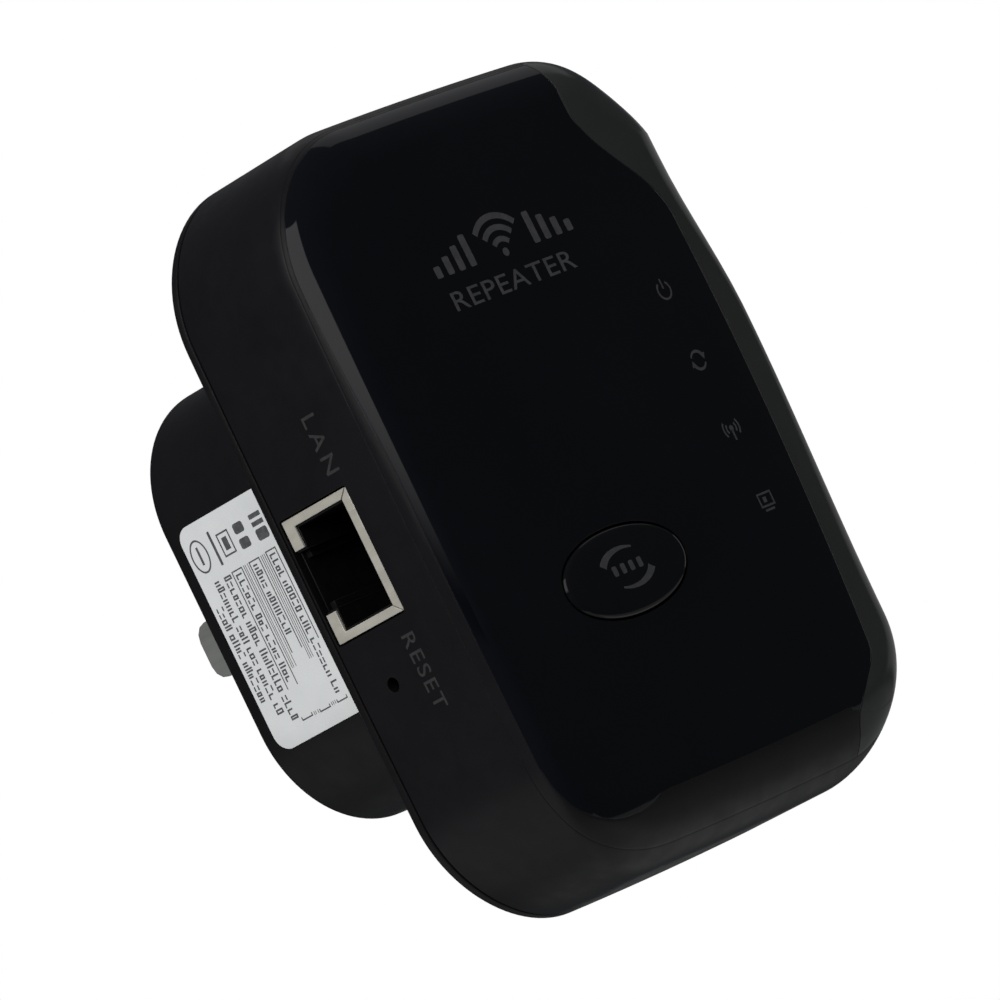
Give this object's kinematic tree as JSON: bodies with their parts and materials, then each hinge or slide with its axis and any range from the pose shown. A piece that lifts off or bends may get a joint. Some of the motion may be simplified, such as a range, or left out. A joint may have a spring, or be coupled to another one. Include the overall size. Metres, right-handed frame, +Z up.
{
  "type": "wifi range extender",
  "caption": "Plug-in wireless repeater: rounded glossy black face, satin sides with a LAN socket and reset pinhole, pairing button, and a rear plug boss with two flat blades.",
  "frame": {"origin": "centre of the plug boss's flat outlet face, between the two blades", "axes": "+Y into the outlet (the glossy face looks along -Y), +X to the right seen from the front, +Z up"},
  "size_m": [0.058, 0.0605, 0.083],
  "materials": {
    "gloss_face": "high-gloss near-black lacquer",
    "edge_trim": "semi-gloss black",
    "satin_shell": "satin black, fine moulded texture",
    "insulator": "moulded black",
    "blade_metal": "nickel-plated",
    "label_film": "satin silver-white label film",
    "socket_shield": "tin-plated, warm tint",
    "gold_contacts": "gold-plated",
    "green_board": "solder mask",
    "screw_steel": "zinc-plated",
    "led_body": "pale epoxy",
    "clear_guide": "clear acrylic",
    "chip_resin": "moulded resin",
    "antenna_brass": "stamped",
    "button_gloss": "high-gloss near-black",
    "switch_plunger": "moulded grey",
    "mains_board": "bare brown laminate",
    "transformer_tape": "yellow insulating tape",
    "capacitor_sleeve": "shrink sleeve",
    "fuse_ceramic": "coated",
    "lead_red": "insulated wire",
    "lead_black": "insulated wire"
  },
  "bodies": {
    "housing": {"front_cover": "gloss_face", "side_trim_right": "edge_trim", "side_housing": "satin_shell", "rear_cover": "satin_shell", "blade_carrier": "insulator", "blade_left": "blade_metal", "blade_right": "blade_metal", "rating_label": "label_film", "lan_socket_shield": "socket_shield", "lan_socket_insert": "insulator", "lan_socket_contacts": "gold_contacts", "main_board": "green_board", "board_screw_1": "screw_steel", "board_screw_2": "screw_steel", "led_power": "led_body", "led_sync": "led_body", "led_wireless": "led_body", "led_lan": "led_body", "led_light_guide": "clear_guide", "radio_chip": "chip_resin", "memory_chip": "chip_resin", "clock_crystal": "screw_steel", "lan_transformer": "chip_resin", "antenna_top": "antenna_brass", "antenna_bottom": "antenna_brass", "pairing_switch_body": "insulator", "reset_switch_body": "insulator", "mains_board": "mains_board", "mains_transformer": "transformer_tape", "mains_capacitor": "capacitor_sleeve", "output_capacitor": "capacitor_sleeve", "bridge_rectifier": "chip_resin", "fuse_resistor": "fuse_ceramic", "converter_chip": "chip_resin", "supply_lead_live": "lead_red", "supply_lead_return": "lead_black"},
    "pairing_button_cap": {"pairing_button": "button_gloss"},
    "pairing_plunger": {"pairing_switch_plunger": "switch_plunger"},
    "reset_plunger": {"reset_switch_plunger": "switch_plunger"}
  },
  "joints": [
    {"name": "pairing_button_press", "type": "slide", "parent": "housing", "child": "pairing_button_cap", "axis": [0, 1, 0], "range_m": [0, 0.0005], "stiffness_N_per_m": 1500, "springref_m": -0.0005},
    {"name": "pairing_switch_press", "type": "slide", "parent": "housing", "child": "pairing_plunger", "axis": [0, 1, 0], "range_m": [0, 0.0005]},
    {"name": "reset_switch_press", "type": "slide", "parent": "housing", "child": "reset_plunger", "axis": [1, 0, 0], "range_m": [0, 0.0003], "stiffness_N_per_m": 1500, "springref_m": -0.0005}
  ],
  "couplings": [
    {"joint": "pairing_switch_press", "follows": "pairing_button_press", "ratio": 1}
  ]
}
